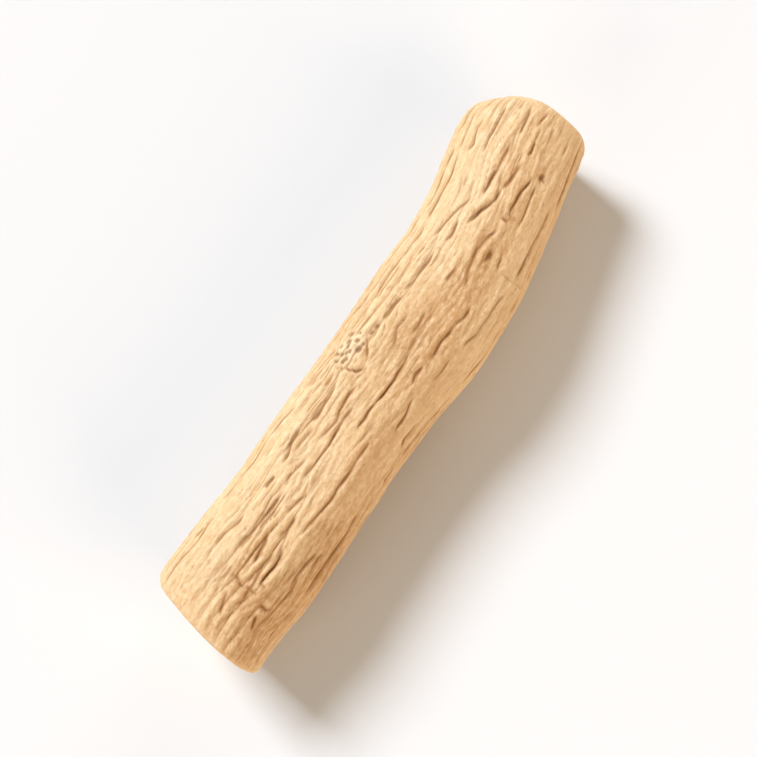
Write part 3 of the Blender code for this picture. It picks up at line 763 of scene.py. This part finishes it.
def cut_face(share, angle, radius):
    """Points of the two cut faces and the painted shade in their cracks: radius is 0 at the pith and 1 at
    the bark.
    """
    rim_angles = np.arange(AROUND) * 2 * math.pi / AROUND
    face = np.zeros(share.shape + (3,))
    painted_shade = np.zeros(share.shape)
    ends = ((0.0, LEFT_LEAN, -1.0, END_CRACKS[0]), (1.0, RIGHT_LEAN, 1.0, END_CRACKS[1]))
    for cut, lean, outwards, cracks in ends:
        here = share == cut
        centre = bark(np.full(AROUND, cut), rim_angles)[0].mean(0)
        reach = bark(share[here], angle[here])[0] - centre
        bark_radius = np.hypot(reach[:, 1], reach[:, 2])
        even = radius[here] ** 2
        rounder = 1 - ROUNDER_SHARE + ROUNDER_SHARE * bark_radius.mean() / bark_radius
        even = even + (1 - even) * rounder
        point = centre + reach * (radius[here] * even)[:, None]
        leaning = lean[0] * (point[:, 1] - centre[1]) + lean[1] * (point[:, 2] - centre[2])
        crack = end_cracks(cracks, angle[here], radius[here])
        stands_out = np.interp(radius[here], *np.array(END_RINGS).T)
        stands_out = stands_out + end_relief(angle[here] + cut, radius[here]) - crack
        point[:, 0] = centre[0] + leaning + outwards * stands_out
        face[here] = point
        # Painted shade in the cracks, growing with their depth
        painted_shade[here] = np.clip(crack / CRACK_SHADE_DEPTH, 0, 1)
    return face, painted_shade


def select(mesh, kind, wanted):
    """Selects, in edit mode, the edges or faces of which a test is true, and nothing else."""
    bpy.ops.mesh.select_all(action="DESELECT")
    bpy.ops.mesh.select_mode(type="EDGE" if kind == "edges" else "FACE")
    editing = bmesh.from_edit_mesh(mesh)
    for item in getattr(editing, kind):
        item.select_set(bool(wanted(item)))
    bmesh.update_edit_mesh(mesh)


def lengthwise(edge):
    """True of an edge that runs along the root."""
    a, b = edge.verts
    return abs(a.co.x - b.co.x) > LEAST_ALONG


def is_end(face):
    """True of a face that closes one end."""
    return abs(face.normal.x) > END_FACING


def plain_length():
    """A plain round length, x from 0 to 1 and radius 1, with rows along it and rings in its ends."""
    bpy.ops.object.select_all(action="DESELECT")
    bpy.ops.mesh.primitive_cylinder_add(
        vertices=AROUND, radius=1.0, depth=1.0, location=(0.5, 0.0, 0.0), rotation=(0.0, math.pi / 2, 0.0)
    )
    root = bpy.context.object
    root.name = PIECE
    bpy.ops.object.transform_apply(location=True, rotation=True, scale=True)
    bpy.ops.object.mode_set(mode="EDIT")
    for parts in (FIRST_ROWS, ROW_PARTS):
        select(root.data, "edges", lengthwise)
        bpy.ops.mesh.subdivide(number_cuts=parts - 1)
    select(root.data, "faces", lambda face: is_end(face) and len(face.verts) == AROUND)
    for _ in range(FACE_RINGS):
        bpy.ops.mesh.inset(thickness=math.cos(math.pi / AROUND) / (FACE_RINGS + 1))
    bpy.ops.mesh.poke()
    bpy.ops.object.mode_set(mode="OBJECT")
    return root


def shares_along():
    """Rows from cut to cut, closer at both ends where the edge is worn round."""
    rows = FIRST_ROWS * ROW_PARTS
    ends = np.array(END_ROWS)
    middle = np.linspace(ends[-1], LENGTH - ends[-1], rows + 3 - 2 * len(ends))[1:-1]
    return np.concatenate([ends, middle, LENGTH - ends[::-1]]) / LENGTH


def keep_on_points(mesh, name, values):
    """Keeps one number for each point of the mesh, for the materials to read."""
    attribute = mesh.attributes.new(name, "FLOAT", "POINT")
    attribute.data.foreach_set("value", np.asarray(values, np.float32))


def make_root():
    """The plain length with its points moved out to the bark and to the two cut faces."""
    root = plain_length()
    mesh = root.data
    plain = np.zeros(len(mesh.vertices) * 3, np.float32)
    mesh.vertices.foreach_get("co", plain)
    plain = plain.reshape(-1, 3).astype(float)
    angle = np.arctan2(plain[:, 2], plain[:, 1]) % (2 * math.pi)
    radius = np.hypot(plain[:, 1], plain[:, 2])
    rows = shares_along()
    share = rows[np.round(plain[:, 0] * (len(rows) - 1)).astype(int)]
    on_face = ((share == 0.0) | (share == 1.0)) & (radius < 1 - 0.5 / (FACE_RINGS + 1))
    points, painted_shade, raised = bark(share, angle)
    points[on_face], painted_shade[on_face] = cut_face(share[on_face], angle[on_face], radius[on_face])
    low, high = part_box(NODE)
    points[:, 1] += (low.y + high.y) / 2 / MM - (points[:, 1].max() + points[:, 1].min()) / 2
    mesh.vertices.foreach_set("co", (points * MM).astype(np.float32).ravel())
    mesh.update()
    x, round_length = points[:, 0], angle * BARK_RADIUS
    from_cut = np.minimum(share, 1 - share) * LENGTH
    numbers = {
        # Painted shade of grooves, creases, dips and cracks
        "painted_shade": painted_shade,
        "raised": raised,
        "scar": knob(x, round_length, unrolled(*SCAR_ABOVE), *SCAR_REACH, 1.0),
        # Painted shade at the bottom of the scar's pits
        "painted_pit_shade": scar_pits(x, round_length),
        # Brown stains, with painted shade low on the -Y side
        "stain_and_shade": stains_and_shade(x, round_length),
        # A paler worn rim by each cut, partly a painted highlight
        "worn_rim_and_highlight": np.clip(1 - from_cut / RIM_WEAR_AND_HIGHLIGHT_REACH, 0, 1),
        "ring": np.where(on_face, radius, 1.0),
        "ray_side": np.cos(angle),
        "ray_up": np.sin(angle),
    }
    for name, values in numbers.items():
        keep_on_points(mesh, name, values)
    mesh.materials.append(bark_material())
    mesh.materials.append(cut_material())
    for face in mesh.polygons:
        face.material_index = int(any(on_face[corner] for corner in face.vertices))
    mesh.shade_smooth()
    return root


def add(tree, kind, **settings):
    """Adds a shader node. A setting is one of its options or, by its name, one of its sockets."""
    node = tree.nodes.new("ShaderNode" + kind)
    for name, value in settings.items():
        if hasattr(node, name):
            setattr(node, name, value)
        else:
            put(tree, node, name.replace("_", " "), value)
    return node


def put(tree, node, socket, value):
    """Gives a socket a plain value, or links it to the first output of a node or to an output."""
    target = node.inputs[socket]
    if isinstance(value, bpy.types.Node):
        tree.links.new(value.outputs[0], target)
    elif isinstance(value, bpy.types.NodeSocket):
        tree.links.new(value, target)
    else:
        target.default_value = value


def maths_free(tree, operation, a, b):
    """One sum of two values, of any size."""
    node = add(tree, "Math", operation=operation)
    put(tree, node, 0, a)
    put(tree, node, 1, b)
    return node


def maths(tree, operation, a, b):
    """One sum of two values, held between 0 and 1."""
    node = maths_free(tree, operation, a, b)
    node.use_clamp = True
    return node


def blend(tree, share, under, over):
    """The colour under turned into the colour over, by a share from 0 to 1."""
    node = add(tree, "Mix", data_type="RGBA")
    put(tree, node, 0, share)
    put(tree, node, 6, under)
    put(tree, node, 7, over)
    return node.outputs[2]


def layered(tree, colour, layers):
    """A colour with others laid over it in turn: where each one lies, how strongly, and the colour."""
    for where, strength, over in layers:
        colour = blend(tree, maths(tree, "MULTIPLY", where, strength), colour, over)
    return colour


def bump_from(tree, parts, strength, distance):
    """A bump whose height is several patterns added up, each times its share."""
    height = 0.0
    for pattern, share in parts:
        height = maths(tree, "ADD", height, maths(tree, "MULTIPLY", pattern, share))
    return add(tree, "Bump", Strength=strength, Distance=distance, Height=height)


def spread(tree, value, low, high, start=0.0, end=1.0):
    """A value between low and high made one between start and end."""
    node = add(tree, "MapRange", interpolation_type="SMOOTHSTEP")
    for socket, number in enumerate((value, low, high, start, end)):
        put(tree, node, socket, number)
    return node


def kept(tree, name):
    """A number that was kept on the points of the mesh."""
    return add(tree, "Attribute", attribute_name=name).outputs["Fac"]


def place_in_mm(tree):
    """Where a point of the piece is, in millimetres."""
    place = add(tree, "TexCoord").outputs["Object"]
    node = add(tree, "VectorMath", operation="SCALE")
    put(tree, node, 0, place)
    put(tree, node, 3, 1 / MM)
    return node.outputs[0]


def divided(tree, place, x, y, z):
    """A place divided by a size along each axis."""
    node = add(tree, "VectorMath", operation="DIVIDE")
    put(tree, node, 0, place)
    put(tree, node, 1, add(tree, "CombineXYZ", X=x, Y=y, Z=z))
    return node


def new_material(name):
    """A new material, its nodes and its shader."""
    material = bpy.data.materials.new(name)
    material.use_nodes = True
    tree = material.node_tree
    return material, tree, tree.nodes["Principled BSDF"]


def new_group(name, inputs, outputs):
    """An empty shader node group with named inputs and outputs."""
    tree = bpy.data.node_groups.new(name, "ShaderNodeTree")
    for socket, kind, value in inputs:
        made = tree.interface.new_socket(socket, in_out="INPUT", socket_type="NodeSocket" + kind)
        if value is not None:
            made.default_value = value
    for socket, kind in outputs:
        tree.interface.new_socket(socket, in_out="OUTPUT", socket_type="NodeSocket" + kind)
    return tree, tree.nodes.new("NodeGroupInput"), tree.nodes.new("NodeGroupOutput")


def streaks_group():
    """Uneven streaks of a given length along the root and width across it, from 0 to 1."""
    inputs = (("Place", "Vector", None), ("Long", "Float", 3.0), ("Wide", "Float", 0.3),
              ("Detail", "Float", 3.0))
    tree, entry, leave = new_group("streaks", inputs, (("Streaks", "Float"),))
    long, wide = entry.outputs["Long"], entry.outputs["Wide"]
    place = divided(tree, entry.outputs["Place"], long, wide, wide)
    texture = add(tree, "TexNoise", Vector=place, Scale=1.0, Detail=entry.outputs["Detail"], Roughness=0.6)
    put(tree, leave, "Streaks", spread(tree, texture.outputs[0], 0.30, 0.70))
    return tree


def specks_group():
    """Small scattered specks, from 0 to 1: the size of their grid, and the share of it that has one."""
    inputs = (("Place", "Vector", None), ("Grid", "Float", 1.0), ("Share", "Float", 0.3))
    tree, entry, leave = new_group("specks", inputs, (("Specks", "Float"),))
    grid = entry.outputs["Grid"]
    place = divided(tree, entry.outputs["Place"], grid, grid, grid)
    cells = add(tree, "TexVoronoi", Vector=place, Scale=1.0)
    split = add(tree, "SeparateColor")
    put(tree, split, 0, cells.outputs["Color"])
    there = maths(tree, "LESS_THAN", split.outputs[0], entry.outputs["Share"])
    near = spread(tree, cells.outputs["Distance"], 0.14, 0.32, 1.0, 0.0)
    put(tree, leave, "Specks", maths(tree, "MULTIPLY", there, near))
    return tree


def grain_group():
    """Fine dry grain for bumps, from 0 to 1."""
    inputs = (("Place", "Vector", None), ("Size", "Float", 0.2))
    tree, entry, leave = new_group("grain", inputs, (("Grain", "Float"),))
    node = add(tree, "VectorMath", operation="SCALE")
    put(tree, node, 0, entry.outputs["Place"])
    put(tree, node, 3, maths_free(tree, "DIVIDE", 1.0, entry.outputs["Size"]))
    texture = add(tree, "TexNoise", Vector=node, Scale=1.0, Detail=4.0, Roughness=0.65)
    put(tree, leave, "Grain", texture.outputs[0])
    return tree


def rays_group():
    """Streaks from the pith to the rim of a cut face, or rings where Count is low and Rings high."""
    inputs = (("Side", "Float", 0.0), ("Up", "Float", 0.0), ("Ring", "Float", 0.0), ("Count", "Float", 8.0),
              ("Rings", "Float", 1.5))
    tree, entry, leave = new_group("rays", inputs, (("Rays", "Float"),))
    count = entry.outputs["Count"]
    side = maths_free(tree, "MULTIPLY", entry.outputs["Side"], count)
    up = maths_free(tree, "MULTIPLY", entry.outputs["Up"], count)
    out = maths_free(tree, "MULTIPLY", entry.outputs["Ring"], entry.outputs["Rings"])
    texture = add(tree, "TexNoise", Scale=1.0, Detail=3.0, Roughness=0.6)
    put(tree, texture, "Vector", add(tree, "CombineXYZ", X=side, Y=up, Z=out))
    put(tree, leave, "Rays", spread(tree, texture.outputs[0], 0.32, 0.68))
    return tree


def use(tree, group, **sockets):
    """Places a node group, built once and then shared, and gives its first output."""
    node = tree.nodes.new("ShaderNodeGroup")
    node.node_tree = GROUPS[group]
    for name, value in sockets.items():
        put(tree, node, name, value)
    return node.outputs[0]


def streaks(tree, place, long, wide, detail):
    """Streaks of one length, width and amount of detail."""
    return use(tree, "streaks", Place=place, Long=long, Wide=wide, Detail=detail)


def bark_material():
    """Dry wrinkled bark: cream and tan in long streaks with brown stains, dusty on its ridges. It has
    painted shade in its grooves, creases, dips and pits and low on its -Y side, and a paler worn rim that is
    partly a painted highlight.
    """
    material, tree, shader = new_material("dry_bark")
    place = place_in_mm(tree)
    patches, bands, threads, crumbs = (streaks(tree, place, *row) for row in BARK_STREAKS)
    specks = use(tree, "specks", Place=place, Grid=0.6, Share=0.20)
    grain = use(tree, "grain", Place=place, Size=0.22)
    mottle = spread(tree, use(tree, "grain", Place=place, Size=0.55), 0.35, 0.65)
    raised = spread(tree, kept(tree, "raised"), 0.35, 0.80)
    stain_and_shade = maths(tree, "MULTIPLY", kept(tree, "stain_and_shade"), maths(tree, "ADD", 0.5, bands))
    pale = maths(tree, "MULTIPLY", kept(tree, "stain_and_shade"), -1.0)
    gritty = maths(tree, "ADD", 0.28, maths(tree, "MULTIPLY", stain_and_shade, 0.50))
    worn_rim_and_highlight = maths(tree, "MULTIPLY", kept(tree, "worn_rim_and_highlight"), grain)
    painted_shade = spread(tree, kept(tree, "painted_shade"), 0.05, 0.85)
    scar = spread(tree, kept(tree, "scar"), 0.30, 0.75)
    painted_pit_shade = spread(tree, kept(tree, "painted_pit_shade"), 0.15, 0.85)
    layers = (
        (bands, 0.50, TAN),
        # Brown stains, with painted shade low on the -Y side
        (stain_and_shade, 0.74, BROWN),
        (raised, 0.50, CREAM),
        (pale, 1.0, PALE),
        (mottle, 0.40, STARCH),
        (crumbs, gritty, BROWN),
        (threads, 0.24, BROWN),
        (bands, 0.16, BROWN),
        (scar, 0.65, SCAR_PALE),
        # Paler worn rim, partly a painted highlight
        (worn_rim_and_highlight, 0.80, CORTEX),
        (specks, 0.28, SPECK_BROWN),
        # Painted shade in grooves, creases and dips
        (painted_shade, 0.90, CREASE_SHADE_BROWN),
        # Painted shade at the bottom of the scar's pits
        (painted_pit_shade, 0.84, PIT_SHADE_BROWN),
    )
    put(tree, shader, "Base Color", layered(tree, blend(tree, patches, TAN, CREAM), layers))
    put(tree, shader, "Roughness", spread(tree, grain, 0.3, 0.7, *BARK_ROUGHNESS))
    put(tree, shader, "Specular IOR Level", BARK_SHINE)
    parts = ((crumbs, 0.30), (threads, 0.25), (grain, 0.15), (mottle, 0.30))
    put(tree, shader, "Normal", bump_from(tree, parts, *BARK_BUMP))
    return material


def ring_colours(tree, ring):
    """The colours of a cut face from the pith to the bark."""
    ramp = add(tree, "ValToRGB", Fac=ring)
    elements = ramp.color_ramp.elements
    elements[0].position, elements[0].color = CUT_COLOURS[0]
    elements[1].position, elements[1].color = CUT_COLOURS[-1]
    for position, colour in CUT_COLOURS[1:-1]:
        elements.new(position).color = colour
    return ramp.outputs[0]


def cut_material():
    """A dry cut face: pale mealy cortex, a soft brown ring, and paler wood with rays round a small pith,
    with painted shade in its cracks.
    """
    material, tree, shader = new_material("cut_end_grain")
    place = place_in_mm(tree)
    side, up, ring = kept(tree, "ray_side"), kept(tree, "ray_up"), kept(tree, "ring")
    patches = streaks(tree, place, *CUT_PATCHES)
    rays, fine_rays, rings = (
        use(tree, "rays", Side=side, Up=up, Ring=ring, Count=round_it, Rings=across)
        for round_it, across in CUT_RAYS
    )
    grain = use(tree, "grain", Place=place, Size=0.20)
    meal = spread(tree, use(tree, "grain", Place=place, Size=0.34), 0.45, 0.62)
    specks = use(tree, "specks", Place=place, Grid=0.7, Share=0.12)
    uneven = maths(tree, "ADD", ring, maths(tree, "MULTIPLY", patches, RING_STRAY))
    uneven = maths(tree, "SUBTRACT", uneven, RING_STRAY / 2)
    layers = (
        (patches, 0.16, TAN),
        (rays, 0.22, CAMBIUM),
        (fine_rays, 0.14, CAMBIUM),
        (rings, 0.16, TAN),
        (meal, 0.38, STARCH),
        (specks, 0.30, SPECK_BROWN),
        # Painted shade in the cracks
        (kept(tree, "painted_shade"), 0.50, BROWN),
    )
    put(tree, shader, "Base Color", layered(tree, ring_colours(tree, uneven), layers))
    put(tree, shader, "Roughness", spread(tree, grain, 0.3, 0.7, *CUT_ROUGHNESS))
    put(tree, shader, "Specular IOR Level", CUT_SHINE)
    put(tree, shader, "Normal", bump_from(tree, ((fine_rays, 0.40), (grain, 0.60)), *CUT_BUMP))
    return material


def make_floor():
    """A plain pale floor."""
    bpy.ops.object.select_all(action="DESELECT")
    bpy.ops.mesh.primitive_plane_add(size=FLOOR_SIZE, location=(0.0, 0.0, 0.0))
    floor = bpy.context.object
    floor.name = "floor"
    material, tree, shader = new_material("pale_floor")
    put(tree, shader, "Base Color", FLOOR_COLOUR)
    put(tree, shader, "Roughness", FLOOR_ROUGHNESS)
    floor.data.materials.append(material)


def make_camera():
    """The camera, far enough for a long lens to take in the whole root."""
    data = bpy.data.cameras.new("camera")
    data.lens = LENS
    data.sensor_width = SENSOR
    data.clip_start, data.clip_end = CLIP
    camera = bpy.data.objects.new("camera", data)
    bpy.context.scene.collection.objects.link(camera)
    flat = -math.cos(VIEW_ELEVATION)
    back = Vector((flat * math.sin(VIEW_TURN), flat * math.cos(VIEW_TURN), math.sin(VIEW_ELEVATION)))
    camera.location = VIEW_CENTRE + back * (FRAME_WIDTH * LENS / SENSOR)
    camera.rotation_mode = "QUATERNION"
    camera.rotation_quaternion = (-back).to_track_quat("-Z", "Y")
    bpy.context.scene.camera = camera


def make_lights():
    """A broad key light, a weaker warm fill from the other side, two weak lights on the ends, and an
    even pale surrounding."""
    for name, direction, elevation, wide, strength, colour in LIGHTS:
        data = bpy.data.lights.new(name, "SUN")
        data.angle = math.radians(wide)
        data.energy = strength
        data.color = colour
        light = bpy.data.objects.new(name, data)
        bpy.context.scene.collection.objects.link(light)
        up = math.radians(elevation)
        flat = Vector((direction[0], direction[1], 0.0)).normalized()
        away = flat * math.cos(up) + Vector((0.0, 0.0, math.sin(up)))
        light.location = VIEW_CENTRE + away
        light.rotation_mode = "QUATERNION"
        light.rotation_quaternion = away.to_track_quat("Z", "Y")
    world = bpy.data.worlds.new("world")
    world.use_nodes = True
    background = world.node_tree.nodes["Background"]
    background.inputs["Color"].default_value = AMBIENT
    background.inputs["Strength"].default_value = AMBIENT_STRENGTH
    bpy.context.scene.world = world
    bpy.context.scene.view_settings.view_transform = "Standard"


GROUPS = {"streaks": streaks_group(), "specks": specks_group(), "grain": grain_group(), "rays": rays_group()}
root = make_root()
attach(root, "root")
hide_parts(NODE)
make_floor()
make_lights()
make_camera()
